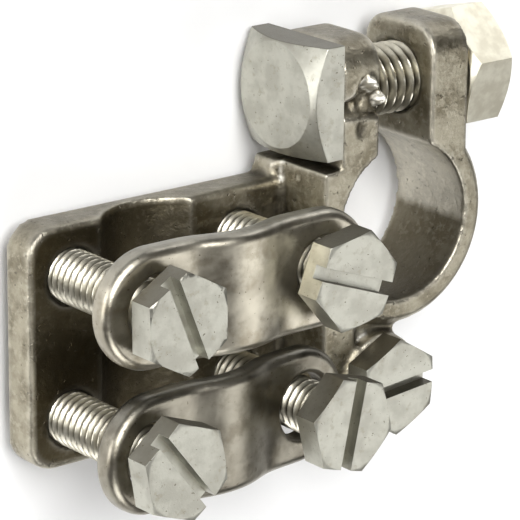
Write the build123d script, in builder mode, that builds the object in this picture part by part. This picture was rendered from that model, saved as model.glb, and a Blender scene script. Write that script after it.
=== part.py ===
from build123d import *
import math
import os

os.makedirs("parts", exist_ok=True)

# All lengths in millimetres. Z is the axis of the battery post, X runs from the
# cable plate towards the ring, Y from the ring towards the clamp bolt.

# Ring that closes on the battery post
RING_H = 11.6
RING_BEVEL = 0.7
RING_OUTER_R = 11.7
BORE_R = 8.95
GAP_HALF = 3.7
# Ears and clamp bolt (M8, square head)
EAR_OUTER_X = 8.95
EAR_TOP_Y = 21.4
EAR_CORNER_R = 3.4
BOLT_Y = 14.7
BOLT_Z = 5.2
BOLT_R = 3.98
BOLT_HOLE_R = 4.05
BOLT_END_X = 16.6
HEAD_AF = 13.0
HEAD_HIGH = 12.6
HEAD_Y = 14.95
HEAD_T = 4.3
HEAD_DISC_R = 5.85
HEAD_DISC_Y = 15.15
NUT_AF = 13.0
NUT_T = 6.0
NUT_X = 9.4
NUT_CORNER_DEG = 14.0
# Neck between ring and cable plate
NECK_X = -11.3
NECK_TOP_Y = 7.4
NECK_LOW_Y = -18.6
SHOULDER = 0.9
# Cable plate
PLATE_LEFT_X = -45.0
PLATE_TOP_Y = 5.35
PLATE_LOW_Y = -21.55
PLATE_T = 4.1
PLATE_CORNER_R = 3.2
GROOVE_X = -29.7
GROOVE_HALF = 6.0
GROOVE_DEEP = 2.8
# Saddle screws (M6, slotted hexagon heads)
COL_LEFT_X = -39.5
COL_RIGHT_X = -17.4
ROW_UP_Y = -0.1
ROW_LOW_Y = -16.3
UPPER_LEFT = (-39.3, -0.5)
UPPER_RIGHT = (-17.2, -0.35)
LOWER_LEFT = (COL_LEFT_X, ROW_LOW_Y)
LOWER_RIGHT = (COL_RIGHT_X, ROW_LOW_Y)
SCREW_R = 2.97
SCREW_HOLE_R = 3.03
SCREW_HEAD_Z = 20.9
SCREW_LEN = 20.9
SCREW_AF = 9.7
SCREW_HEAD_T = 3.1
SLOT_W = 1.45
SLOT_DEEP = 1.6
# Saddles (bent strap with two oversize holes)
SADDLE_T = 2.8
SADDLE_END_R = 6.5
SADDLE_HOLE_R = 3.65
SADDLE_RIM = 0.6
SADDLE_RISE = 1.4
SADDLE_KINK = 5.4
UPPER_Z = 16.6
UPPER_ENDS = (-40.0, -17.9)
UPPER_HOLES = (-39.6, -17.65)
LOWER_Z = 14.55
LOWER_ENDS = (-39.4, -18.2)
LOWER_HOLES = (-39.6, -17.75)
LOWER_TILT = 5.9
# Auxiliary terminal screw and its lug
AUX_X = -3.3
AUX_Y = -17.6
AUX_LUG_R = 5.3
AUX_WEB_Z = 10.8
AUX_AF = 9.6
AUX_SEAT_Z = 12.1
AUX_LEN = 12.0


# Ring, ears, neck, cable plate and auxiliary lug: one casting
with BuildPart() as clamp_body:
    with BuildSketch(Plane.XY):
        with Locations(((PLATE_LEFT_X + NECK_X + 2) / 2, (PLATE_TOP_Y + PLATE_LOW_Y) / 2)):
            Rectangle(NECK_X + 2 - PLATE_LEFT_X, PLATE_TOP_Y - PLATE_LOW_Y)
    extrude(amount=PLATE_T)
    left_corners = clamp_body.edges().filter_by(Axis.Z).group_by(Axis.X)[0]
    fillet(left_corners, PLATE_CORNER_R)
    plate_rim = clamp_body.faces().sort_by(Axis.Z)[-1].edges().filter_by(
        lambda e: e.center().X < NECK_X)
    fillet(plate_rim, 0.6)
    # Half-round groove that beds the cables, right across the plate
    groove_r = (GROOVE_HALF ** 2 + GROOVE_DEEP ** 2) / (2 * GROOVE_DEEP)
    with BuildSketch(Plane.XZ.offset(-PLATE_TOP_Y - 1)):
        with Locations((GROOVE_X, PLATE_T - GROOVE_DEEP + groove_r)):
            Circle(groove_r)
    extrude(amount=PLATE_TOP_Y - PLATE_LOW_Y + 2, mode=Mode.SUBTRACT)
    # Ring, cut flat where the neck faces the plate
    with BuildSketch(Plane.XY):
        Circle(RING_OUTER_R)
        with Locations((NECK_X - 1, 0)):
            Rectangle(2, 2 * RING_OUTER_R, mode=Mode.SUBTRACT)
    extrude(amount=RING_H)
    ring_rim = clamp_body.faces().sort_by(Axis.Z)[-1].edges().filter_by(GeomType.CIRCLE)
    chamfer(ring_rim, RING_BEVEL)
    # Neck block that joins ring and plate
    with BuildSketch(Plane.XY):
        with Locations((NECK_X / 2, (NECK_TOP_Y + NECK_LOW_Y) / 2)):
            Rectangle(-NECK_X, NECK_TOP_Y - NECK_LOW_Y)
        with Locations((NECK_X * 0.25 + 0.4, NECK_LOW_Y / 2 - 4)):
            Rectangle(-NECK_X * 0.5 + 3, -NECK_LOW_Y - 8, mode=Mode.SUBTRACT)
    extrude(amount=RING_H)
    # Shoulder where the plate's top edge runs up into the neck
    with BuildSketch(Plane.XY) as shoulder:
        with Locations((NECK_X, PLATE_TOP_Y - 2)):
            Rectangle(6, 4)
        with Locations((NECK_X - SHOULDER + 1.5, NECK_TOP_Y - 1.5)):
            Rectangle(3, 3)
        soft = shoulder.vertices().filter_by(
            lambda v: v.X < NECK_X - SHOULDER + 0.1 and v.Y > PLATE_TOP_Y - 0.1 and v.X > NECK_X - 2.9)
        fillet(soft, 0.85)
    extrude(amount=PLATE_T - 0.6)
    # Lug for the auxiliary screw, with the lower web that ties it to the ring
    with BuildSketch(Plane.XY) as web:
        with Locations((-5.9, -13.2)):
            Rectangle(10.8, 7.8)
        Circle(RING_OUTER_R)
        with Locations((NECK_X - 1, 0)):
            Rectangle(2.4, 2 * RING_OUTER_R, mode=Mode.SUBTRACT)
        notch = web.vertices().sort_by_distance((-0.5, -11.7))[0]
        fillet(notch, 1.0)
    extrude(amount=AUX_WEB_Z)
    with BuildSketch(Plane.XY):
        with Locations((AUX_X, AUX_Y)):
            Circle(AUX_LUG_R)
    extrude(amount=AUX_SEAT_Z)
    # Ears
    with BuildSketch(Plane.XY):
        with Locations((0, EAR_TOP_Y / 2)):
            Rectangle(2 * EAR_OUTER_X, EAR_TOP_Y)
    extrude(amount=RING_H)
    ear_corners = clamp_body.faces().sort_by(Axis.Y)[-1].edges().filter_by(Axis.X)
    fillet(ear_corners, EAR_CORNER_R)
    # Bore and jaw gap
    with BuildSketch(Plane.XY):
        Circle(BORE_R)
        with Locations((0, 15)):
            Rectangle(2 * GAP_HALF, 30)
    extrude(amount=RING_H, mode=Mode.SUBTRACT)
    # Bolt hole through both ears
    with BuildSketch(Plane.YZ.offset(-EAR_OUTER_X - 1)):
        with Locations((BOLT_Y, BOLT_Z)):
            Circle(BOLT_HOLE_R)
    extrude(amount=2 * EAR_OUTER_X + 2, mode=Mode.SUBTRACT)
    # Screw holes in the plate and in the lug
    with BuildSketch(Plane.XY):
        with Locations(UPPER_LEFT, UPPER_RIGHT, LOWER_LEFT, LOWER_RIGHT):
            Circle(SCREW_HOLE_R)
    extrude(amount=PLATE_T, mode=Mode.SUBTRACT)
    with BuildSketch(Plane.XY):
        with Locations((AUX_X, AUX_Y)):
            Circle(SCREW_HOLE_R)
    extrude(amount=AUX_SEAT_Z, mode=Mode.SUBTRACT)
clamp_body.part.label = "clamp_body"
export_step(clamp_body.part, "parts/clamp_body.step")

# Square-headed clamp bolt; its head is held from turning by the neck block
with BuildPart() as clamp_bolt:
    with BuildSketch(Plane.YZ.offset(-EAR_OUTER_X - HEAD_T)):
        with Locations((HEAD_Y, BOLT_Z)):
            Rectangle(HEAD_HIGH, HEAD_AF)
    extrude(amount=HEAD_T)
    with BuildSketch(Plane.YZ.offset(-EAR_OUTER_X - HEAD_T)):
        with Locations((HEAD_DISC_Y, BOLT_Z)):
            Circle(HEAD_DISC_R)
    extrude(amount=HEAD_T, taper=-58, mode=Mode.INTERSECT)
    with BuildSketch(Plane.YZ.offset(-EAR_OUTER_X - 0.5)):
        with Locations((BOLT_Y, BOLT_Z)):
            Circle(BOLT_R)
    extrude(amount=BOLT_END_X + EAR_OUTER_X + 0.5)
    bolt_tip = clamp_bolt.faces().sort_by(Axis.X)[-1].edges()
    chamfer(bolt_tip, 0.7)
clamp_bolt.part.label = "clamp_bolt"
export_step(clamp_bolt.part, "parts/clamp_bolt.step")

# Hexagon nut, chamfered on both sides
with BuildPart() as clamp_nut:
    nut_corner = NUT_AF / math.sqrt(3)
    nut_plane = Plane(origin=(NUT_X, BOLT_Y, BOLT_Z), x_dir=(0, 0, 1), z_dir=(1, 0, 0))
    with BuildSketch(nut_plane):
        RegularPolygon(nut_corner, 6, rotation=-NUT_CORNER_DEG)
    extrude(amount=NUT_T)
    with BuildSketch(nut_plane):
        Circle(NUT_AF / 2 - 0.25)
    extrude(amount=NUT_T, taper=-60, mode=Mode.INTERSECT)
    with BuildSketch(nut_plane.offset(NUT_T)):
        Circle(NUT_AF / 2 - 0.25)
    extrude(amount=-NUT_T, taper=-60, mode=Mode.INTERSECT)
    with BuildSketch(nut_plane):
        Circle(BOLT_HOLE_R)
    extrude(amount=NUT_T, mode=Mode.SUBTRACT)
    nut_bore = clamp_nut.edges().filter_by(GeomType.CIRCLE).filter_by(
        lambda e: abs(e.radius - BOLT_HOLE_R) < 0.01)
    chamfer(nut_bore, 0.5)
clamp_nut.part.label = "clamp_nut"
export_step(clamp_nut.part, "parts/clamp_nut.step")


def saddle(row_y, low_z, ends, holes, tilt):
    """Bent strap: flat ends round the screws, low arch over the cables, left end tilted up."""
    mid_x = (ends[0] + ends[1]) / 2
    reach = (ends[1] - ends[0]) / 2 + SADDLE_END_R
    side = Plane(origin=(mid_x, row_y + SADDLE_END_R, low_z), x_dir=(1, 0, 0), z_dir=(0, -1, 0))
    with BuildPart() as strap:
        with BuildSketch(side) as profile:
            with BuildLine():
                Line((-reach, 0), (-SADDLE_KINK, 0))
                ThreePointArc((-SADDLE_KINK, 0), (0, SADDLE_RISE), (SADDLE_KINK, 0))
                Line((SADDLE_KINK, 0), (reach, 0))
                Line((reach, 0), (reach, SADDLE_T))
                Line((reach, SADDLE_T), (SADDLE_KINK, SADDLE_T))
                ThreePointArc((SADDLE_KINK, SADDLE_T), (0, SADDLE_T + SADDLE_RISE),
                              (-SADDLE_KINK, SADDLE_T))
                Line((-SADDLE_KINK, SADDLE_T), (-reach, SADDLE_T))
                Line((-reach, SADDLE_T), (-reach, 0))
            make_face()
            kinks = profile.vertices().filter_by(lambda v: abs(abs(v.X - mid_x) - SADDLE_KINK) < 0.01)
            fillet(kinks, 3.4)
        extrude(amount=2 * SADDLE_END_R)
        with BuildSketch(Plane.XY.offset(low_z - 1)):
            with Locations((mid_x, row_y)):
                SlotCenterToCenter(ends[1] - ends[0], 2 * SADDLE_END_R)
        extrude(amount=SADDLE_T + SADDLE_RISE + 2, mode=Mode.INTERSECT)
        with BuildSketch(Plane.XY.offset(low_z - 1)):
            with Locations((holes[0], row_y), (holes[1], row_y)):
                Circle(SADDLE_HOLE_R)
        extrude(amount=SADDLE_T + SADDLE_RISE + 2, mode=Mode.SUBTRACT)
        hole_rims = strap.edges().filter_by(GeomType.CIRCLE).filter_by(
            lambda e: abs(e.radius - SADDLE_HOLE_R) < 0.01)
        chamfer(hole_rims, SADDLE_RIM)
    return strap.part.rotate(Axis((mid_x, row_y, low_z), (0, 1, 0)), tilt)


saddle_upper = saddle(ROW_UP_Y, UPPER_Z, UPPER_ENDS, UPPER_HOLES, 0)
saddle_upper.label = "saddle_upper"
export_step(saddle_upper, "parts/saddle_upper.step")
saddle_lower = saddle(ROW_LOW_Y, LOWER_Z, LOWER_ENDS, LOWER_HOLES, LOWER_TILT)
saddle_lower.label = "saddle_lower"
export_step(saddle_lower, "parts/saddle_lower.step")


def slotted_screw(x, y, seat_z, length, corner_deg, slot_deg, across=SCREW_AF):
    """M6 hexagon screw with a driver slot across its chamfered head."""
    with BuildPart() as screw:
        with BuildSketch(Plane.XY.offset(seat_z)):
            with Locations((x, y)):
                RegularPolygon(across / math.sqrt(3), 6, rotation=corner_deg)
        extrude(amount=SCREW_HEAD_T)
        with BuildSketch(Plane.XY.offset(seat_z + SCREW_HEAD_T)):
            with Locations((x, y)):
                Circle(across / 2)
        extrude(amount=-SCREW_HEAD_T, taper=-60, mode=Mode.INTERSECT)
        slot_dir = (math.cos(math.radians(slot_deg)), math.sin(math.radians(slot_deg)), 0)
        slot_plane = Plane(origin=(x, y, seat_z + SCREW_HEAD_T - SLOT_DEEP),
                           x_dir=slot_dir, z_dir=(0, 0, 1))
        with BuildSketch(slot_plane):
            Rectangle(3 * SCREW_AF, SLOT_W)
        extrude(amount=SLOT_DEEP + 1, mode=Mode.SUBTRACT)
        with BuildSketch(Plane.XY.offset(seat_z + 0.5)):
            with Locations((x, y)):
                Circle(SCREW_R)
        extrude(amount=-length - 0.5)
        tip = screw.faces().sort_by(Axis.Z)[0].edges()
        chamfer(tip, 0.6)
    return screw.part


screw_ul = slotted_screw(*UPPER_LEFT, SCREW_HEAD_Z, SCREW_LEN, 31, -68)
screw_ul.label = "screw_upper_left"
export_step(screw_ul, "parts/screw_upper_left.step")
screw_ur = slotted_screw(*UPPER_RIGHT, SCREW_HEAD_Z, SCREW_LEN, 10, -20)
screw_ur.label = "screw_upper_right"
export_step(screw_ur, "parts/screw_upper_right.step")
screw_ll = slotted_screw(*LOWER_LEFT, SCREW_HEAD_Z, SCREW_LEN, 40, -52)
screw_ll.label = "screw_lower_left"
export_step(screw_ll, "parts/screw_lower_left.step")
screw_lr = slotted_screw(*LOWER_RIGHT, SCREW_HEAD_Z, SCREW_LEN, 44, 78)
screw_lr.label = "screw_lower_right"
export_step(screw_lr, "parts/screw_lower_right.step")
aux_screw = slotted_screw(AUX_X, AUX_Y, AUX_SEAT_Z, AUX_LEN, 28, 5, AUX_AF)
aux_screw.label = "aux_screw"
export_step(aux_screw, "parts/aux_screw.step")
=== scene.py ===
# %% [markdown]
# # Battery terminal clamp
# The solids come ready-made and placed. This lesson gives them their looks: cut
# threads, rolled edges, a cast skin with its flaws, and plated, tarnished metal
# under soft studio light. Each step says what the piece is on a real clamp, how
# it could be made in Blender, and why it is made the way it is.

# %% Load the frame
import math
import bmesh
import bpy
import numpy as np
from mathutils import Matrix, Vector


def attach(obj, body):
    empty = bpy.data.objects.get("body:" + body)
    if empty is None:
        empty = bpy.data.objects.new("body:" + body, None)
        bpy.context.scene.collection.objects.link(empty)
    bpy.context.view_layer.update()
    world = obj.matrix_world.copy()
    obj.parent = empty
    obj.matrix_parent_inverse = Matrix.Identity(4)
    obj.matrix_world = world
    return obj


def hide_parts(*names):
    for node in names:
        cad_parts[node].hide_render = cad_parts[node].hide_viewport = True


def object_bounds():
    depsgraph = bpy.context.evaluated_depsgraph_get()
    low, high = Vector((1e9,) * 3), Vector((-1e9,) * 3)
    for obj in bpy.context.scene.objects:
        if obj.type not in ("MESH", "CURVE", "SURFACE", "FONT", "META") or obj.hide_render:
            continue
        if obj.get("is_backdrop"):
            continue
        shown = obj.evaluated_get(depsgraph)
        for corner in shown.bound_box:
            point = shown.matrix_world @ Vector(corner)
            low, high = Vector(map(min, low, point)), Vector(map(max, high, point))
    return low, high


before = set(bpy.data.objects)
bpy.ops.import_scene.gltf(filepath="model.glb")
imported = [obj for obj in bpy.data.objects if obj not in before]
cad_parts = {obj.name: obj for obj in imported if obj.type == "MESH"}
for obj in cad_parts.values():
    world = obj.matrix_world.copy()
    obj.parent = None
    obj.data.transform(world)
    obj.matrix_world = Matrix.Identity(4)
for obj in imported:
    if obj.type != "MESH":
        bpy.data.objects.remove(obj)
solid_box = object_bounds()
MM = 0.001
TAU = 2 * math.pi
print("frame:", len(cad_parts), "nodes")

# %% [markdown]
# ## Camera
# The clamp is seen from above its cable plate, turned so that the plate's face,
# its left end and its long upper side all show. A long lens keeps parallel edges
# nearly parallel, as in a catalogue picture. A camera could be aimed with a
# constraint; here its three axes are written down, which fixes its roll as well.

# %% Camera
VIEW_PLACE = Vector((-0.23029252, 0.10570787, 0.27141347))
VIEW_RIGHT = Vector((0.7793209, 0.00808619, 0.62657286))
VIEW_UP = Vector((0.18381003, 0.95298067, -0.24091848))
VIEW_BACK = Vector((-0.59905993, 0.30292318, 0.74119143))
VIEW_LENS = 228.457

camera = bpy.data.objects.new("camera", bpy.data.cameras.new("camera"))
bpy.context.scene.collection.objects.link(camera)
turn = Matrix((VIEW_RIGHT, VIEW_UP, VIEW_BACK)).transposed()
camera.matrix_world = Matrix.Translation(VIEW_PLACE) @ turn.to_4x4()
camera.data.sensor_width = 36
camera.data.lens = VIEW_LENS
camera.data.clip_start = 0.01
bpy.context.scene.camera = camera
print("camera at", [round(c, 3) for c in VIEW_PLACE], "lens", VIEW_LENS)

# %% [markdown]
# ## Meshes from arrays
# A strap or a thread could be modelled by hand from a cylinder or a plane, but then
# its sizes are lost among the clicks. Here every new surface is a grid of points
# that numpy works out in one go. Helpers turn such a grid into quads and make a
# mesh object of points and faces. The last one gives a piece its finish and puts
# it in its solid's place, on the body that the solid belongs to, so that it moves
# as the solid does.


# %% Mesh helpers
def grid_quads(rows, cols):
    """Quads of a rows x cols grid of points whose last column joins its first."""
    r, c = np.meshgrid(np.arange(rows - 1), np.arange(cols), indexing="ij")
    d = (c + 1) % cols
    corners = [r * cols + c, r * cols + d, (r + 1) * cols + d, (r + 1) * cols + c]
    return np.stack(corners, -1).reshape(-1, 4)


def shade(mesh, sharp_deg):
    """Smooth shading, except where two faces meet at more than this angle."""
    mesh.shade_smooth()
    mesh.set_sharp_from_angle(angle=math.radians(sharp_deg))


def mesh_piece(name, points, faces, sharp_deg=35):
    """A mesh object from an array of points in metres and a list of faces."""
    mesh = bpy.data.meshes.new(name)
    mesh.from_pydata(points.tolist(), [], [list(f) for f in faces])
    mesh.validate()
    shade(mesh, sharp_deg)
    piece = bpy.data.objects.new(name, mesh)
    bpy.context.scene.collection.objects.link(piece)
    return piece


def dress(piece, node, look, instead=True):
    """Finish a piece and let it ride on a solid's body, instead of the solid or with it."""
    piece.data.materials.clear()
    piece.data.materials.append(looks[look])
    if instead:
        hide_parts(node)
    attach(piece, node)
    print(piece.name, len(piece.data.polygons), "faces")


print("helpers: grid_quads, shade, mesh_piece, dress")

# %% [markdown]
# ## Shader maths as expressions
# A finish is a sum of masks and colours. It could be wired by hand in the Shader
# Editor, but a screen full of noodles hides the arithmetic, so a small class wraps
# one socket: sums, differences and products of wires, or of a wire and a number
# on either side, add their own Math nodes. Colours go through a Mix node, because
# a Math node would turn them grey. Every node comes from the one method new.


# %% Socket wrapper
def plug(socket, value):
    """Link a wire to a socket, or set its value."""
    if isinstance(value, Wire):
        socket.id_data.links.new(value.socket, socket)
    elif isinstance(value, (tuple, list)):
        opaque = len(socket.default_value) == 4 and len(value) == 3
        socket.default_value = (*value, 1.0) if opaque else value
    else:
        socket.default_value = value


class Wire:
    """One output socket of a node tree."""

    def __init__(self, socket):
        self.socket, self.tree = socket, socket.id_data

    @staticmethod
    def new(tree, kind, settings=None, sockets=None, output=0):
        """Any node: its settings first, then a value or a link for each socket."""
        made = tree.nodes.new("ShaderNode" + kind)
        for name, value in (settings or {}).items():
            setattr(made, name, value)
        for name, value in (sockets or {}).items():
            plug(made.inputs[name], value)
        return Wire(made.outputs[output])

    def math(self, operation, *terms):
        """A Math node over one or two wires or numbers."""
        return Wire.new(self.tree, "Math", {"operation": operation}, dict(enumerate(terms)))

    def __add__(self, other): return self.math("ADD", self, other)
    def __radd__(self, other): return self.math("ADD", other, self)
    def __sub__(self, other): return self.math("SUBTRACT", self, other)
    def __rsub__(self, other): return self.math("SUBTRACT", other, self)
    def __mul__(self, other): return self.math("MULTIPLY", self, other)
    def __rmul__(self, other): return self.math("MULTIPLY", other, self)
    def __abs__(self): return self.math("ABSOLUTE", self)

    def axis(self, index):
        """One part of a vector: 0, 1 or 2 for X, Y or Z."""
        return Wire.new(self.tree, "SeparateXYZ", None, {0: self}, index)

    def ramp(self, low, high):
        """0 at low, 1 at high, smooth between; low may be the larger."""
        ends = {"Value": self, "From Min": low, "From Max": high}
        return Wire.new(self.tree, "MapRange", {"interpolation_type": "SMOOTHSTEP"}, ends, "Result")

    def mix(self, first, second):
        """A colour between first and second, with this wire as the share of second."""
        return Wire.new(self.tree, "Mix", {"data_type": "RGBA"}, {0: self, 6: first, 7: second}, 2)


print("class Wire: + - * abs, axis, ramp, mix")

# %% [markdown]
# ## Patterns
# Cast grain, scuffs and tarnish are cloudy patches of one size or another. Images
# could be wrapped round each piece, but they need seams and a map. Noise read from
# the Object coordinates needs neither, and lies still on the part in every view.
# What belongs to one place, such as a thread's root or a flaw, is a number kept
# on the mesh's own points and read back by its name.


# %% Pattern helpers
def metal(name):
    """A new all-metal material, its shader's inputs and the place on the part."""
    made = bpy.data.materials.new(name)
    made.use_nodes = True
    shader = made.node_tree.nodes["Principled BSDF"].inputs
    shader["Metallic"].default_value = 1.0
    return made, shader, Wire.new(made.node_tree, "TexCoord", output="Object")


def noise(place, size_mm, detail=3.0, rough=0.55, squeeze=(1, 1, 1)):
    """Cloudy noise whose blobs are about size_mm across, divided by squeeze on each axis."""
    scale = tuple(s / (size_mm * MM) for s in squeeze)
    scaled = Wire.new(place.tree, "Mapping", None, {"Vector": place, "Scale": scale})
    sockets = {"Vector": scaled, "Scale": 1.0, "Detail": detail, "Roughness": rough}
    return Wire.new(place.tree, "TexNoise", None, sockets, "Fac")


def painted(place, name):
    """A number kept on the mesh's points, read by name."""
    return Wire.new(place.tree, "Attribute", {"attribute_name": name}, None, "Fac")


def painted_shade_plus_y(place):
    """1 where the surface faces +Y: the mask of the shade painted onto that side."""
    return Wire.new(place.tree, "TexCoord", output="Normal").axis(1).ramp(0.30, 0.90)


def bump(shader, height, depth_mm):
    """Tilt the shader's normal as if the surface rose by depth_mm where height is 1."""
    sockets = {"Height": height, "Strength": 1.0, "Distance": depth_mm * MM}
    plug(shader["Normal"], Wire.new(height.tree, "Bump", None, sockets, "Normal"))


print("pattern helpers: metal, noise, painted, painted_shade_plus_y, bump")

# %% [markdown]
# ## Cast nickel
# The body is a brass casting under satin nickel. The plating is mottled, grey to
# beige, over sand grain and small pits, and it has gone brown on the plate's
# sheltered face. Shade is painted into the colour on faces turned to +Y and in
# notches, where dirt lies as well, and highlights are painted onto edges, glints,
# beads and one side of the bore. One colour with one roughness would look like
# painted plastic. Layers do better: each mask mixes the colour so far with its
# own. The three numbers, for stain and shade, for highlight and wear, and for
# tarnish, come from the mesh, further down.

# %% Cast nickel
# Painted light is among these colours: the second row's first colour is painted shade for +Y faces,
# the stain brown also paints shade, and the bare pale also paints highlights.
NICKEL_GREY, NICKEL_PALE, NICKEL_RUBBED = (0.21, 0.185, 0.13), (0.43, 0.395, 0.305), (0.52, 0.48, 0.38)
NICKEL_SHADE_PLUS_Y, NICKEL_PIT, NICKEL_BARE_AND_HIGHLIGHT = (0.11, 0.10, 0.08), (0.07, 0.06, 0.04), (0.90, 0.87, 0.78)
TARNISH_BROWN, STAIN_AND_SHADE_BROWN = (0.052, 0.040, 0.019), (0.030, 0.024, 0.015)


def cast_nickel():
    """Grey to pale by cloud; then rubbed, painted shade on +Y, tarnished, stained with painted shade,
    pitted, bare with painted highlights.
    """
    made, shader, place = metal("cast_nickel")
    cloud = noise(place, size_mm=3.5, detail=5, rough=0.62)
    grain = noise(place, size_mm=0.30, detail=4, rough=0.7)
    speck = noise(place, size_mm=0.8, rough=0.6)
    lumps = noise(place, size_mm=1.6, detail=2)
    pits = noise(place, size_mm=0.75, detail=2, rough=0.5).ramp(0.33, 0.27)
    highlight_and_wear = painted(place, "highlight_and_wear")
    browned = painted(place, "tarnish") * (0.80 + 0.20 * cloud.ramp(0.3, 0.6))
    skin = cloud.ramp(0.35, 0.65).mix(NICKEL_GREY, NICKEL_PALE)
    skin = (0.5 * speck.ramp(0.50, 0.64)).mix(skin, NICKEL_RUBBED)
    # Painted shade: faces turned to +Y are darkened.
    skin = (0.55 * painted_shade_plus_y(place)).mix(skin, NICKEL_SHADE_PLUS_Y)
    skin = browned.mix(skin, TARNISH_BROWN)
    # Brown stain, and painted shade in notches and along the misrun's step.
    skin = (0.97 * painted(place, "stain_and_shade")).mix(skin, STAIN_AND_SHADE_BROWN)
    skin = (0.55 * pits).mix(skin, NICKEL_PIT)
    # Bare metal, and painted highlights on glints, edges, beads and the bore's upper side.
    plug(shader["Base Color"], highlight_and_wear.mix(skin, NICKEL_BARE_AND_HIGHLIGHT))
    plug(shader["Roughness"], 0.24 + 0.16 * cloud + 0.14 * grain - 0.08 * highlight_and_wear)
    bump(shader, 0.8 * grain + 2.0 * lumps - 1.2 * pits, depth_mm=0.06)
    return made


looks = {"cast": cast_nickel()}
print("cast nickel:", len(looks["cast"].node_tree.nodes), "nodes")

# %% [markdown]
# ## Plated strip
# The saddles are struck from strip and plated brighter than the casting. They are
# scuffed along their length, so one noise is drawn out in X. The lower one is
# painted darker, as painted shade from the upper saddle and the heads over it. It
# could have its own material, but then every change would be made twice, so one
# function makes both and a number scales the colours.

# %% Plated strip
STRIP_GREY, STRIP_PALE, STRIP_BROWN = (0.36, 0.33, 0.265), (0.60, 0.56, 0.46), (0.22, 0.185, 0.125)
# The first colour here is painted shade for faces turned to +Y.
STRIP_SHADE_PLUS_Y, STRIP_SPECK = (0.15, 0.15, 0.14), (0.10, 0.08, 0.05)
LENGTHWAYS = (0.25, 1, 1)


def plated_strap(name, tone):
    """Mottled, scuffed and specked strip, with painted shade on +Y faces; tone scales its three main
    colours.
    """
    made, shader, place = metal(name)
    grey, pale, brown = np.multiply((STRIP_GREY, STRIP_PALE, STRIP_BROWN), tone).tolist()
    scuff = noise(place, size_mm=0.5, detail=4, rough=0.6, squeeze=LENGTHWAYS)
    cloud = noise(place, size_mm=4.0)
    patch = noise(place, size_mm=2.4, detail=4, rough=0.6)
    speck = noise(place, size_mm=0.45, detail=2)
    lumps = noise(place, size_mm=2.2, detail=2)
    skin = cloud.ramp(0.3, 0.7).mix(grey, pale)
    skin = (0.5 * patch.ramp(0.48, 0.70)).mix(skin, brown)
    # Painted shade: faces turned to +Y are darkened.
    skin = (0.6 * painted_shade_plus_y(place)).mix(skin, STRIP_SHADE_PLUS_Y)
    skin = (0.7 * speck.ramp(0.68, 0.74)).mix(skin, STRIP_SPECK)
    plug(shader["Base Color"], skin)
    plug(shader["Roughness"], 0.20 + 0.18 * cloud + 0.12 * scuff)
    bump(shader, scuff + 1.5 * lumps, depth_mm=0.03)
    return made


looks["strap"] = plated_strap("bright_strap", tone=1.0)
# Painted shade: the lower saddle is a darker copy of the same strip, for the shade it lies in.
looks["shaded strap"] = plated_strap("painted_shade_strap", tone=0.62)
print("looks:", ", ".join(looks))

# %% [markdown]
# ## Screw heads
# Screws are tumbled in a drum while they are plated, which leaves an even matt
# grey with a few dark specks. Fine grain in the bump alone would sparkle, so it
# moves the roughness a little as well.

# %% Screw heads
HEAD_GREY, HEAD_PALE, HEAD_WORN = (0.42, 0.41, 0.355), (0.52, 0.515, 0.45), (0.30, 0.27, 0.20)
# The first colour here is painted shade for faces turned to +Y.
HEAD_SHADE_PLUS_Y, HEAD_SPECK = (0.085, 0.075, 0.055), (0.10, 0.085, 0.055)


def satin_screw():
    """Grey to pale by cloud, then worn in patches, painted shade on its +Y side, and specked."""
    made, shader, place = metal("satin_screw")
    grain = noise(place, size_mm=0.25, rough=0.6)
    patch = noise(place, size_mm=1.1, rough=0.65)
    speck = noise(place, size_mm=0.35, detail=2)
    skin = noise(place, size_mm=2.5).ramp(0.35, 0.65).mix(HEAD_GREY, HEAD_PALE)
    skin = (0.4 * patch.ramp(0.55, 0.72)).mix(skin, HEAD_WORN)
    # Painted shade: faces turned to +Y are darkened.
    skin = (0.8 * painted_shade_plus_y(place)).mix(skin, HEAD_SHADE_PLUS_Y)
    skin = (0.8 * speck.ramp(0.69, 0.74)).mix(skin, HEAD_SPECK)
    plug(shader["Base Color"], skin)
    plug(shader["Roughness"], 0.36 + 0.12 * grain)
    bump(shader, grain, depth_mm=0.02)
    return made


looks["screw"] = satin_screw()
print("looks:", ", ".join(looks))

# %% [markdown]
# ## Nut and threads
# The nut is plated brighter than the heads. A rolled thread is bright on its
# crests, and its roots are painted dark, for dirt and for the shade that falls in
# them. No noise can know where a root is, and a spiral pattern laid over the screw
# would drift off it, so the thread's surface carries its own depth, named groove:
# 0 on a crest and 1 in a root.

# %% Nut and threads
NUT_GREY, NUT_PALE = (0.66, 0.62, 0.50), (0.82, 0.79, 0.66)
# The root colour is dirt with painted shade.
CREST_GREY, CREST_PALE, ROOT_DIRT_AND_SHADE = (0.50, 0.47, 0.385), (0.66, 0.63, 0.53), (0.05, 0.043, 0.028)


def bright_metal(name, grey, pale, cloud_mm):
    """Clouded bright metal: its material, its shader's inputs, its place and its colour."""
    made, shader, place = metal(name)
    plug(shader["Roughness"], 0.30 + 0.12 * noise(place, size_mm=0.3))
    return made, shader, place, noise(place, cloud_mm).ramp(0.35, 0.65).mix(grey, pale)


looks["nut"], shader, place, colour = bright_metal("bright_nut", NUT_GREY, NUT_PALE, 2.0)
plug(shader["Base Color"], colour)
looks["thread"], shader, place, crest = bright_metal("rolled_thread", CREST_GREY, CREST_PALE, 1.5)
# Roots painted dark: dirt, and painted shade in the thread's hollows.
plug(shader["Base Color"], painted(place, "groove").ramp(0.25, 0.95).mix(crest, ROOT_DIRT_AND_SHADE))
print("looks:", ", ".join(looks))

# %% [markdown]
# ## Copies of the solids
# A solid arrives as loose triangles, which no modifier can round. Its corners could
# be merged in Edit Mode, but in code the same lines serve every piece: equal
# corners become one, triangles that vanish are dropped, and an axis and a level
# can pick just the head of a screw. The head is the solid's own, so it needs no
# drawing a second time.


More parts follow.
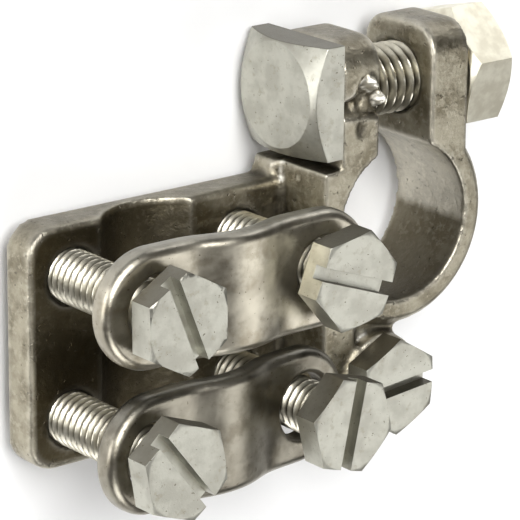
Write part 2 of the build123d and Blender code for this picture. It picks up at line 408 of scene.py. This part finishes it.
# %% Merged triangles
def kept_triangles(node, axis=None, level=0.0, sign=1):
    """Merged corners and triangles of a solid, or of its part past a level on one axis."""
    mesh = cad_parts[node].data
    co = np.empty(len(mesh.vertices) * 3)
    mesh.vertices.foreach_get("co", co)
    co = co.reshape(-1, 3)
    loops = np.empty(len(mesh.loops), int)
    mesh.loops.foreach_get("vertex_index", loops)
    tri = loops.reshape(-1, 3)
    if axis is not None:
        tri = tri[sign * (co[tri].mean(1)[:, axis] - level) > 0]
    corner = np.round(co[tri].reshape(-1, 3), 7)
    points, index = np.unique(corner, axis=0, return_inverse=True)
    tri = index.reshape(-1, 3)
    good = (tri[:, 0] != tri[:, 1]) & (tri[:, 1] != tri[:, 2]) & (tri[:, 2] != tri[:, 0])
    return points, tri[good]


nut_points, nut_triangles = kept_triangles("clamp_nut")
print("clamp_nut:", len(nut_points), "corners,", len(nut_triangles), "triangles")

# %% [markdown]
# ## Rounded nut
# The nut is a plain hexagon on the clamp bolt. No real edge is knife-sharp, and a
# rounded one catches a line of light, which is most of what tells steel from card.
# Corners could be rounded in the solid, at the price of many small faces. A Bevel
# on the copy does it here, once flat triangles are joined into whole faces, and
# Weighted Normals keep those faces looking flat.


# %% Rounded nut
def join_flats(mesh):
    """Coplanar triangles joined into whole flat faces, so that a Bevel runs clean."""
    made = bmesh.new()
    made.from_mesh(mesh)
    bmesh.ops.remove_doubles(made, verts=made.verts, dist=2e-6)
    bmesh.ops.dissolve_limit(made, angle_limit=math.radians(0.6), verts=made.verts, edges=made.edges)
    made.to_mesh(mesh)
    made.free()


def round_edges(piece, width_mm, angle_deg):
    """A three-step Bevel on edges sharper than the angle, and normals that favour flats."""
    made = piece.modifiers.new("rounded", "BEVEL")
    made.width = width_mm * MM
    made.segments = 3
    made.limit_method = "ANGLE"
    made.angle_limit = math.radians(angle_deg)
    piece.modifiers.new("even", "WEIGHTED_NORMAL")


nut = mesh_piece("clamp_nut_finished", nut_points, nut_triangles, sharp_deg=40)
join_flats(nut.data)
round_edges(nut, width_mm=0.18, angle_deg=28)
dress(nut, "clamp_nut", "nut")

# %% [markdown]
# ## Cast body
# The body is one casting: plate, cable channel, ring, ears and lug. A casting has
# no sharp corner and no sharp notch, and its flaws are part of its shape. A Bevel
# over hundreds of short edges is held back by the shortest one, so the solid is
# wrapped in a skin of small voxels instead, which is then smoothed a little. That
# skin is also dense enough to push flaws into it point by point.


# %% Skin of voxels
def voxel_skin(node, voxel_mm, smooth_steps):
    """The solid's surface rebuilt from even quads, its corners eased by smoothing."""
    raw = mesh_piece(node + "_raw", *kept_triangles(node))
    wrap = raw.modifiers.new("wrap", "REMESH")
    wrap.mode = "VOXEL"
    wrap.voxel_size = voxel_mm * MM
    wrap.use_smooth_shade = True
    ease = raw.modifiers.new("ease", "SMOOTH")
    ease.factor, ease.iterations = 0.5, smooth_steps
    ready = raw.evaluated_get(bpy.context.evaluated_depsgraph_get())
    mesh = bpy.data.meshes.new_from_object(ready)
    bpy.data.objects.remove(raw)
    return mesh


def read_vectors(mesh, name):
    """The co or normal of every point of a mesh, one row each."""
    flat = np.empty(len(mesh.vertices) * 3)
    mesh.vertices.foreach_get(name, flat)
    return flat.reshape(-1, 3)


skin = voxel_skin("clamp_body", voxel_mm=0.33, smooth_steps=4)
place = read_vectors(skin, "co")
print("skin of", len(place), "points")

# %% [markdown]
# ## Masks from drawn lines
# A flaw has an outline. It could be sculpted with a brush, but a stroke can't be
# read or corrected later, and a short run of points can. Two tests serve for all:
# how far a point lies from a run, and whether it lies inside a closed one. A bell
# turns a distance into a soft spot, so that nothing pushed into the skin has a
# sharp border.


# %% Distance, inside, bell
def beside(spot, path):
    """Distance in mm to a run of points: the least over its sides, each clamped to its ends."""
    nearest = np.full(len(spot), 1e9)
    for a, b in zip(path[:-1], path[1:]):
        a, b = np.array(a), np.array(b)
        t = np.clip((spot - a) @ (b - a) / ((b - a) @ (b - a)), 0, 1)
        nearest = np.minimum(nearest, np.hypot(*(spot - a - t[:, None] * (b - a)).T))
    return nearest


def within(spot, path):
    """True inside a closed run: a ray towards +X crosses an odd number of its sides."""
    odd = np.zeros(len(spot), bool)
    for (ax, ay), (bx, by) in zip(path, path[1:] + path[:1]):
        crosses = (ay > spot[:, 1]) != (by > spot[:, 1])
        at = ax + (spot[:, 1] - ay) / (by - ay if by != ay else 1) * (bx - ax)
        odd ^= crosses & (spot[:, 0] < at)
    return odd


def bell(distance, width):
    """1 on the spot, 0 beyond width: one less the squared share, to the power 1.5."""
    return np.clip(1 - (distance / width) ** 2, 0, 1) ** 1.5


print("bell at 0, half and full width:", bell(np.array([0, 0.5, 1]), 1).round(2))

# %% [markdown]
# ## Misrun on one ear
# Metal that cools too early does not fill the mould. On the ear by the bolt's head
# it left a ragged step, a shallow hollow, beads and a brown pit. Bump could draw
# them, but it would not show in the outline or throw a shadow, so the flaw is real
# height, added along Z. The same masks paint a shadow into the colour along the
# foot of the step and a highlight onto the beads, and stain the pit brown.

# %% Misrun
LEDGE = [(-9.2, 14.85), (-8.4, 15.0), (-7.25, 15.15), (-6.95, 16.1), (-6.45, 17.0), (-5.9, 17.35)]
HOLLOW = LEDGE + [(-5.0, 16.4), (-4.3, 15.6), (-3.5, 14.6), (-2.4, 14.2), (-2.4, 12.5),
                  (-5.0, 12.7), (-9.2, 13.1)]
RIDGE = [(-7.0, 14.2), (-6.35, 15.4), (-6.1, 16.3)]
BEADS = [(-5.45, 16.65, 0.85, 1.5), (-4.95, 16.1, 0.6, 0.9),  # x, y, size and height
         (-3.95, 14.65, 0.95, 1.5), (-3.3, 14.2, 0.6, 0.7)]
PIT_PLACE, PIT_SIZE, PIT_DEPTH = (-6.4, 11.6), (0.8, 1.25), 0.30
HOLLOW_DEPTH, LEDGE_DEPTH, RIDGE_RISE = 0.45, 0.9, 0.45
WALL, LEDGE_REACH, RIDGE_REACH, PAINTED_SHADOW_REACH = 0.35, 1.9, 0.45, 1.6
EAR_LEFT, EAR_RIGHT, EAR_BOTTOM, EAR_TOP, EAR_FACE = -9.5, -2.2, 9.8, 18.2, 11.0


def misrun(x, y):
    """Height, stain and painted shadow, and painted highlight: minus a walled hollow and a pit, plus a
    ridge and beads.
    """
    spot = np.stack([x, y], -1)
    edge = beside(spot, HOLLOW + HOLLOW[:1])
    inside = np.where(within(spot, HOLLOW), np.clip(edge / WALL, 0, 1), 0)
    ledge = beside(spot, LEDGE)
    rise = -inside * (HOLLOW_DEPTH + LEDGE_DEPTH * bell(ledge, LEDGE_REACH))
    rise += RIDGE_RISE * bell(beside(spot, RIDGE), RIDGE_REACH) * inside
    highlight_and_wear = np.zeros(len(x))
    for bead_x, bead_y, size, high in BEADS:
        bead = bell(np.hypot(x - bead_x, y - bead_y), size)
        rise += high * bead
        # Painted highlight on each bead.
        highlight_and_wear = np.maximum(highlight_and_wear, bead)
    pit = bell(np.hypot(*((spot - PIT_PLACE) / PIT_SIZE).T), 1.0)
    rise -= PIT_DEPTH * pit
    # Painted shadow along the step's foot inside the hollow; a real brown stain in the pit.
    stain_and_shade = np.maximum(inside * bell(ledge, PAINTED_SHADOW_REACH) ** 0.6, 0.8 * pit)
    return rise, np.clip(stain_and_shade - highlight_and_wear, 0, 1), np.clip(1.6 * highlight_and_wear, 0, 1)


x, y, z = (place / MM).T
ear = (x > EAR_LEFT) & (x < EAR_RIGHT) & (y > EAR_BOTTOM) & (y < EAR_TOP) & (z > EAR_FACE)
stain_and_shade, highlight_and_wear = np.zeros(len(x)), np.zeros(len(x))
rise, stain_and_shade[ear], ear_highlight = misrun(x[ear], y[ear])
place[ear, 2] += rise * MM
print("misrun from", rise.min().round(2), "to", rise.max().round(2), "mm")

# %% [markdown]
# ## Painted glints
# Glints of light are painted into the colour as bright bare metal: on the neck's
# side, and on the slope between the ring and the screw lug. They could be painted
# on with a brush. A few balls of painted highlight with written places are as
# quick, they stay put when the skin is remade, and a run of them makes a long
# streak.

# %% Painted glints
PAINTED_GLINTS = [(-11.3, 7.2, 4.2, 0.55), (-11.3, 6.3, 4.1, 0.45), (-11.3, 5.4, 4.3, 0.6),  # x, y, z, size
         (-11.3, 5.9, 6.9, 0.4), (-5.4, -12.2, 11.0, 0.9), (-6.5, -11.3, 11.0, 0.6),
         (-4.2, -13.3, 11.0, 0.55)]

# Painted highlights at the glints, as balls of shine.
for *spot, size in PAINTED_GLINTS:
    reach = np.linalg.norm(np.stack([x, y, z], -1) - spot, axis=1)
    highlight_and_wear = np.maximum(highlight_and_wear, bell(reach, size))
highlight_and_wear[ear] = ear_highlight
print("painted_glint points:", int((highlight_and_wear > 0).sum()))

# %% [markdown]
# ## Tarnish
# The plate's upper face goes brown under the saddles, more so towards its free
# end. The bore is brown on one side and bright on the other, with a ragged border
# between; the bright side is rubbed by the battery post and is painted brighter
# still, as a painted highlight. Noise alone would put brown anywhere. Both are
# products of ramps instead: one for each side of the place, so that the brown ends
# softly just inside each edge.


# %% Tarnish
def climb(value, width):
    """0 up to zero, 1 from width on, straight in between."""
    return np.clip(value / width, 0, 1)


skin.vertices.foreach_set("co", place.ravel())
upward = read_vectors(skin, "normal")[:, 2]
PLATE_LEFT, PLATE_RIGHT, PLATE_TOP, PLATE_BOTTOM = -44.5, -11.7, 4.85, -21.05
BROWNER_PAST, BROWNER_OVER = -18, 12
tarnish = climb(upward - 0.1, 0.3) * climb(PLATE_RIGHT - x, 0.4)
for inward in (x - PLATE_LEFT, PLATE_TOP - y, y - PLATE_BOTTOM):
    tarnish *= climb(inward, 0.3)
tarnish *= 0.45 + 0.50 * climb(BROWNER_PAST - x, BROWNER_OVER)
print("share of the skin that is brown:", (tarnish > 0.1).mean().round(3))

# %% Bore: tarnish and painted highlight
BORE_R, WORN_Y = 9.45, -1.3
bore = climb(BORE_R - np.hypot(x, y), 0.3) * climb(1 - np.abs(upward) * 1.5, 1)
worn_to = WORN_Y + 0.12 * np.sin(2.1 * z) + 0.08 * np.sin(5.3 * z + 1)
tarnish = np.maximum(tarnish, 0.60 * bore * climb(worn_to - y + 0.5, 1))
# Painted highlight on the bore's upper side, with rubbing by the battery post.
highlight_and_wear = np.maximum(highlight_and_wear, 0.42 * bore * climb(y - worn_to + 0.5, 1))
print("points of the bore:", int((bore > 0).sum()))

# %% [markdown]
# ## Notches and edges
# A notch is painted dark, for dirt and for the shade that falls in it, and an
# edge is painted bright, for rubbed metal and for the highlight it catches. Both
# can be told from how a point lies among its neighbours: if they stand proud of
# it along its normal, it is in a notch, and if they drop away, on an edge.
# Blender's own Pointiness says much the same, but it can't be evened out or given
# a threshold in mm, and an array can.


# %% Bends
def bends(mesh, points, normals, spreads=5):
    """Neighbours' mean less the point, along its normal, in mm; then averaged spreads times."""
    ends = np.empty(len(mesh.edges) * 2, int)
    mesh.edges.foreach_get("vertices", ends)
    a, b = ends.reshape(-1, 2).T
    total = len(points)
    links = np.bincount(a, minlength=total) + np.bincount(b, minlength=total)

    def around(values):
        return (np.bincount(a, values[b], total) + np.bincount(b, values[a], total)) / links

    proud = np.stack([around(points[:, k]) for k in range(3)], -1) - points
    bend = (proud * normals).sum(1)
    for _ in range(spreads):
        bend = 0.5 * bend + 0.5 * around(bend)
    return bend


NOTCH_MM, EDGE_MM = 0.014, 0.030
bend = bends(skin, place / MM, read_vectors(skin, "normal"))
# Painted shade in notches, with dirt.
stain_and_shade = np.maximum(stain_and_shade, 0.75 * np.clip(bend / NOTCH_MM - 0.15, 0, 1))
# Painted highlight on edges, with wear.
highlight_and_wear = np.maximum(highlight_and_wear, 0.30 * np.clip(-bend / EDGE_MM - 0.2, 0, 1))
print("bends from", bend.min().round(4), "to", bend.max().round(4), "mm")

# %% [markdown]
# ## Body piece
# The three masks go onto the skin's points under the names that the cast finish
# reads. They could be image maps as well, but the skin is dense enough that one
# number a point is as sharp as the flaws are, and the skin then takes the solid's
# place.

# %% Body piece
for name, values in (("stain_and_shade", stain_and_shade), ("highlight_and_wear", highlight_and_wear), ("tarnish", tarnish)):
    kept = skin.attributes.new(name, "FLOAT", "POINT")
    kept.data.foreach_set("value", values.astype(np.float32))
skin.update()
body = bpy.data.objects.new("clamp_body_skin", skin)
bpy.context.scene.collection.objects.link(body)
dress(body, "clamp_body", "cast")

# %% [markdown]
# ## Bent straps
# A saddle is struck from strip: its bends are soft, its outer rim is rolled over
# and its hole rims are broken. Cutting and bevelling a copy of the solid leaves a
# crease at each bend, so the strap is computed. A plan grid runs from each hole
# out to the outline, and a height is worked out for every point of it.


# %% Strap height
STRAP_T, STRAP_R, HOLE_R = 2.8, 6.5, 3.65
ARCH_RISE, ARCH_HALF, ARCH_BLUR = 1.4, 5.4, 1.15
LIP_R, RIM_R = 1.1, 0.6


def arch_height(run):
    """Low circular arch between two flat ends, blurred along the strap by a bell curve."""
    round_r = (ARCH_HALF**2 + ARCH_RISE**2) / (2 * ARCH_RISE)
    step = np.linspace(-3, 3, 61)
    weight = np.exp(-0.5 * step**2)
    u = run[..., None] - ARCH_BLUR * step
    arch = np.sqrt(np.maximum(round_r**2 - u**2, 0)) - round_r + ARCH_RISE
    return (np.maximum(arch, 0) * weight).sum(-1) / weight.sum()


def rolled(inside, radius):
    """Drop of a rim rounded to this radius: radius less the circle's height at inside mm."""
    lack = radius - np.clip(inside, 0, radius)
    return radius - np.sqrt(radius**2 - lack**2)


def strap_sheets(plan, ends, holes):
    """Top and underside over a plan grid: arch height, less or plus the drop at each rim."""
    x, y = plan[..., 0], plan[..., 1]
    past = np.maximum(np.maximum(ends[0] - x, x - ends[1]), 0)
    drop = rolled(STRAP_R - np.hypot(past, y), LIP_R)
    for hole in holes:
        drop = np.maximum(drop, rolled(np.hypot(x - hole, y) - HOLE_R, RIM_R))
    z = arch_height(x - (ends[0] + ends[1]) / 2)
    return np.stack([x, y, z + STRAP_T - drop], -1), np.stack([x, y, z + drop], -1)


print("arch rises to", arch_height(np.zeros(1)).round(3)[0], "mm")

# %% [markdown]
# ## Plan of a strap
# A round hole in a strap with round ends could be cut with a Boolean, which leaves
# ragged triangles just where the rim should roll over. Here the middle is a plain
# rectangle, and each end is a fan of rays from its hole's rim to the outline and
# the rectangle's side. Points crowd together near both rims, where the surface
# turns quickest.

# %% Strap plan
ACROSS, ALONG, ROUND, RAY = 57, 14, 59, 30  # points across, along, round an end and on a ray
CUT_HALF, CUT_STEPS, STRAP_SHARP = 5.0, 61, 40


def eased(count):
    """0 to 1 in count steps, closely spaced at both ends: half of one less a cosine."""
    return (1 - np.cos(np.linspace(0, math.pi, count))) / 2


across = STRAP_R * (1 - 2 * eased(ACROSS))


def end_plan(hole, end, cut, side):
    """Rays from a hole's rim to the outline round one end, and to the cut across the strap."""
    straight = np.linspace(cut, end, ALONG + 1)[1:]
    turn = np.linspace(0, math.pi, ROUND + 2)[1:-1]
    arc = np.stack([end + side * STRAP_R * np.sin(turn), STRAP_R * np.cos(turn)], -1)
    loop = np.vstack([
        np.stack([np.full(ACROSS, cut), -across], -1),
        np.stack([straight, np.full(ALONG, STRAP_R)], -1), arc,
        np.stack([straight[::-1], np.full(ALONG, -STRAP_R)], -1),
        [[cut, -STRAP_R]],
    ])
    reach = np.hypot(loop[:, 0] - hole, loop[:, 1])[:, None, None]
    way = ((loop - [hole, 0]) / reach[:, 0])[:, None, :]
    far = HOLE_R + (reach - HOLE_R) * eased(RAY)[None, :, None]
    return np.array([hole, 0]) + way * far


def sheet_quads(grid):
    """Corner points of every quad of a grid of points."""
    corners = [grid[:-1, :-1], grid[1:, :-1], grid[1:, 1:], grid[:-1, 1:]]
    return np.stack(corners, 2).reshape(-1, 4, 3)


print("one end:", end_plan(-39.6, -40.0, -34.0, -1).shape[:2], "rays and points on each")

# %% [markdown]
# ## Both saddles
# The upper saddle lies level under its screws, and the lower one leans towards the
# ring. A Solidify modifier could thicken one sheet, but its rims would be square.
# Here two sheets, above and below, are joined by walls at the outline and in the
# holes and merged to one closed shell. One function leans it and sets its height.


# %% Closed shell
def close_up(mesh):
    """Merges slivers away, turns every face outwards and returns how many edges stay open."""
    made = bmesh.new()
    made.from_mesh(mesh)
    bmesh.ops.dissolve_degenerate(made, edges=made.edges, dist=1e-8)
    bmesh.ops.recalc_face_normals(made, faces=made.faces)
    open_edges = sum(1 for e in made.edges if len(e.link_faces) != 2)
    made.to_mesh(mesh)
    made.free()
    return open_edges


def strap_quads(ends, holes):
    """Every quad of a level strap: the middle and two ends, two sheets each, and the walls."""
    middle = (ends[0] + ends[1]) / 2
    cuts = (middle - CUT_HALF, middle + CUT_HALF)
    x, y = np.meshgrid(np.linspace(*cuts, CUT_STEPS), across, indexing="ij")
    centre = strap_sheets(np.stack([x, y], -1), ends, holes)
    quads = [sheet_quads(sheet) for sheet in centre]
    for edge in (0, -1):
        quads.append(sheet_quads(np.stack([sheet[:, edge] for sheet in centre])))
    for hole, end, cut, side in zip(holes, ends, cuts, (-1, 1)):
        top, under = strap_sheets(end_plan(hole, end, cut, side), ends, holes)
        outline = slice(ACROSS - 1, None)
        quads += [sheet_quads(top), sheet_quads(under)]
        quads.append(sheet_quads(np.stack([top[:, 0], under[:, 0]])))
        quads.append(sheet_quads(np.stack([top[outline, -1], under[outline, -1]])))
    return np.vstack(quads)


print("level strap:", len(strap_quads((-40.0, -17.9), (-39.6, -17.65))), "quads")


# %% Saddles
def struck_saddle(node, ends, holes, row, low, lean_deg, look):
    """A strap along one row of screws, leaned about its middle and lifted to low."""
    quads = strap_quads(ends, holes).reshape(-1, 3)
    flat, index = np.unique(np.round(quads, 4), axis=0, return_inverse=True)
    middle, lean = (ends[0] + ends[1]) / 2, math.radians(lean_deg)
    run, y, z = flat[:, 0] - middle, flat[:, 1], flat[:, 2]
    points = np.stack([
        middle + run * math.cos(lean) + z * math.sin(lean),
        row + y,
        low - run * math.sin(lean) + z * math.cos(lean),
    ], -1)
    piece = mesh_piece(node + "_strap", points * MM, index.reshape(-1, 4), STRAP_SHARP)
    print("open edges:", close_up(piece.data))
    shade(piece.data, STRAP_SHARP)
    dress(piece, node, look)


struck_saddle("saddle_upper", ends=(-40.0, -17.9), holes=(-39.6, -17.65),
              row=-0.1, low=16.6, lean_deg=0.0, look="strap")
struck_saddle("saddle_lower", ends=(-39.4, -18.2), holes=(-39.6, -17.75),
              row=-16.3, low=14.55, lean_deg=5.9, look="shaded strap")

# %% [markdown]
# ## Threads
# A rolled thread is one surface: its radius swings between crest and root as the
# turn and the run along the screw go by. A Screw modifier could sweep a profile,
# but it leaves both ends open. Here the same V fades in over a short lead at the
# tip, each end closes in a fan, and the depth is at hand for the finish.

# %% Thread surface
THREAD_DEPTH, LEAD_DEPTH, LEAD = 0.61, 0.75, 0.6  # depths in pitches, lead in mm
TURN_STEPS, PITCH_STEPS = 72, 12


def thread_points(radius, pitch, length):
    """Rings along Z: radius less a rounded V, whose phase is run / pitch less turn."""
    run = np.linspace(0, length, int(length / pitch * PITCH_STEPS) + 1)
    angle = np.arange(TURN_STEPS) / TURN_STEPS * TAU
    s, a = np.meshgrid(run, angle, indexing="ij")
    phase = (s / pitch - a / TAU) % 1.0
    vee = np.clip(np.abs(2 * phase - 1) * 1.25 - 0.125, 0, 1)
    r = radius - THREAD_DEPTH * pitch * (1 - vee)
    r = np.minimum(r, radius - LEAD_DEPTH * pitch * (1 - np.clip(s / LEAD, 0, 1)))
    ring = np.stack([r * np.cos(a), r * np.sin(a), s], -1).reshape(-1, 3)
    groove = np.concatenate([[0], ((radius - r) / (THREAD_DEPTH * pitch)).ravel(), [0]])
    return np.vstack([[0, 0, 0], ring, [0, 0, length]]), groove


def shank_faces(points):
    """Side quads of the rings, and a fan at each end about its centre point."""
    cols, rows = TURN_STEPS, (len(points) - 2) // TURN_STEPS
    side = grid_quads(rows, cols) + 1
    c = np.arange(cols)
    tip = np.stack([np.zeros(cols, int), (c + 1) % cols + 1, c + 1], -1)
    base = 1 + (rows - 1) * cols
    root = np.stack([np.full(cols, rows * cols + 1), base + c, base + (c + 1) % cols], -1)
    return [*side, *tip, *root]


def threaded_pieces(node, points, groove, head):
    """A threaded shank and the solid's own head with rounded edges, which stand for the solid."""
    shank = mesh_piece(node + "_thread", points * MM, shank_faces(points), sharp_deg=50)
    kept = shank.data.attributes.new("groove", "FLOAT", "POINT")
    kept.data.foreach_set("value", groove.astype(np.float32))
    top = mesh_piece(node + "_head", *head, sharp_deg=25)
    join_flats(top.data)
    round_edges(top, width_mm=0.14, angle_deg=25)
    dress(shank, node, "thread", instead=False)
    dress(top, node, "screw")


print("a 20 mm shank has", len(thread_points(2.97, 1.0, 20)[0]), "points")

# %% [markdown]
# ## Plate screws
# Four screws hold the saddles and a fifth closes the lug. All have slotted hex
# heads, whose corners are dropped only lightly at the top. The heads could be
# drawn anew, but the solid's are right in all else, so just the points of its
# deeper chamfer are drawn up, to four tenths of their drop.

# %% Screws
SCREW_R, SCREW_PITCH, INTO_HEAD = 2.97, 1.0, 0.4
CHAMFER_LEFT, CHAMFER_REACH = 0.4, 0.8
HAIR = 1e-6  # metres past the seat, so that the cut misses the head's own face


def plate_screw(node, x, y, seat, tip):
    """A screw along Z from its tip to the seat of its head, in mm."""
    points, groove = thread_points(SCREW_R, SCREW_PITCH, seat - tip + INTO_HEAD)
    head = kept_triangles(node, 2, seat * MM - HAIR)
    corner = head[0][:, 2] - head[0][:, 2].max()
    chamfer = (corner > -CHAMFER_REACH * MM) & (corner < 0)
    head[0][chamfer, 2] -= (1 - CHAMFER_LEFT) * corner[chamfer]
    threaded_pieces(node, points + [x, y, tip], groove, head)


SADDLE_SEAT, SADDLE_TIP = 20.9, 0.0
plate_screw("screw_upper_left", -39.3, -0.5, SADDLE_SEAT, SADDLE_TIP)
plate_screw("screw_upper_right", -17.2, -0.35, SADDLE_SEAT, SADDLE_TIP)
plate_screw("screw_lower_left", -39.5, -16.3, SADDLE_SEAT, SADDLE_TIP)
plate_screw("screw_lower_right", -17.4, -16.3, SADDLE_SEAT, SADDLE_TIP)
plate_screw("aux_screw", -3.3, -17.6, seat=12.1, tip=0.1)

# %% [markdown]
# ## Clamp bolt
# The bolt crosses both ears and pulls them together on the battery post. It is
# the same thread with a coarser pitch. An object could be turned to lie along X,
# but a finished piece stays unturned at the origin, so its points are turned
# instead: run becomes -X, and the two others follow.

# %% Clamp bolt
BOLT_R, BOLT_PITCH = 3.98, 1.25
BOLT_TIP_X, BOLT_SEAT_X, BOLT_Y, BOLT_Z = 16.6, -8.95, 14.7, 5.2
points, groove = thread_points(BOLT_R, BOLT_PITCH, BOLT_TIP_X - BOLT_SEAT_X + INTO_HEAD)
along_x = np.stack([BOLT_TIP_X - points[:, 2], BOLT_Y + points[:, 0], BOLT_Z - points[:, 1]], -1)
bolt_head = kept_triangles("clamp_bolt", 0, BOLT_SEAT_X * MM + HAIR, -1)
threaded_pieces("clamp_bolt", along_x, groove, bolt_head)

# %% [markdown]
# ## Floor
# A clamp floating in white has no weight, so a pale matt sheet lies a hair below
# its lowest point and takes the soft shadow. A shadow catcher would do it too, but
# the metal needs something pale below it to mirror. The sheet is staged: it
# belongs to the picture, not to the part.

# %% Floor
FLOOR_SPAN, FLOOR_GAP = 1.2, 0.0001
corners = np.array([[-1, -1, 0], [1, -1, 0], [1, 1, 0], [-1, 1, 0]]) * FLOOR_SPAN
floor = mesh_piece("floor", corners + [0, 0, solid_box[0][2] - FLOOR_GAP], [[0, 1, 2, 3]])
paper = bpy.data.materials.new("paper")
paper.use_nodes = True
sheet = paper.node_tree.nodes["Principled BSDF"].inputs
plug(sheet["Base Color"], (0.92, 0.92, 0.92))
plug(sheet["Roughness"], 0.9)
floor.data.materials.append(paper)
floor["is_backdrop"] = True
print("floor at", round(floor.data.vertices[0].co.z / MM, 2), "mm")

# %% [markdown]
# ## Light
# Metal shows what it mirrors, so large square lights matter more than strong ones.
# Spots would give hard sparks on every rounded edge. The sky gives the flat tops
# their tone, the key draws the shadow, and the low, left and back lights open the
# sides. Each is aimed at the clamp by its own -Z axis.


# %% Lights
AIM = Vector((-0.015, 0, 0.01))


def softbox(name, place, size, power):
    """A square light in metres and watts that faces the clamp."""
    data = bpy.data.lights.new(name, "AREA")
    data.size, data.energy = size, power
    lamp = bpy.data.objects.new(name, data)
    bpy.context.scene.collection.objects.link(lamp)
    aim = (AIM - Vector(place)).to_track_quat("-Z", "Y")
    lamp.matrix_world = Matrix.Translation(place) @ aim.to_matrix().to_4x4()
    print(name, "light,", power, "W")


softbox("key", (0.25, -0.145, 0.34), 0.24, 0.40)
softbox("left", (-0.55, 0.06, 0.10), 0.34, 1.5)
softbox("low", (-0.12, -0.60, 0.46), 0.40, 2.2)
softbox("back", (0.42, 0.52, 0.10), 0.22, 0.55)
softbox("sky", (-0.25, 0.34, 0.65), 0.45, 6.5)

# %% [markdown]
# ## Room
# Bright metal needs dark things to mirror as well, or it looks like chalk. A sky
# texture or a real room could stand round it. A dim warm grey is enough here,
# with a pale band round the horizon, where low views look past the floor. The
# height of a direction alone decides its colour.

# %% Room
ROOM_TONE, HORIZON_TONE = (0.030, 0.027, 0.0216), (0.85, 0.85, 0.85)
world = bpy.data.worlds.new("room")
bpy.context.scene.world = world
world.use_nodes = True
room = world.node_tree.nodes["Background"].inputs
toward = Wire.new(world.node_tree, "TexCoord", output="Generated")
band = abs(toward.axis(2)).ramp(0.13, 0.07)
plug(room["Color"], band.mix(ROOM_TONE, HORIZON_TONE))
plug(room["Strength"], 1.0)
bpy.context.scene.view_settings.view_transform = "Standard"
print("room:", len(world.node_tree.nodes), "nodes")

# %% [markdown]
# ## Sizes and finish
# Rounded and threaded pieces must keep the solids' own size.

# %% Sizes and finish
boxes = {"solids": solid_box, "dressed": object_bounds()}
change = np.abs(np.array(boxes["dressed"]) - np.array(boxes["solids"])).max() / MM
print("largest change of a side:", change.round(3), "mm")
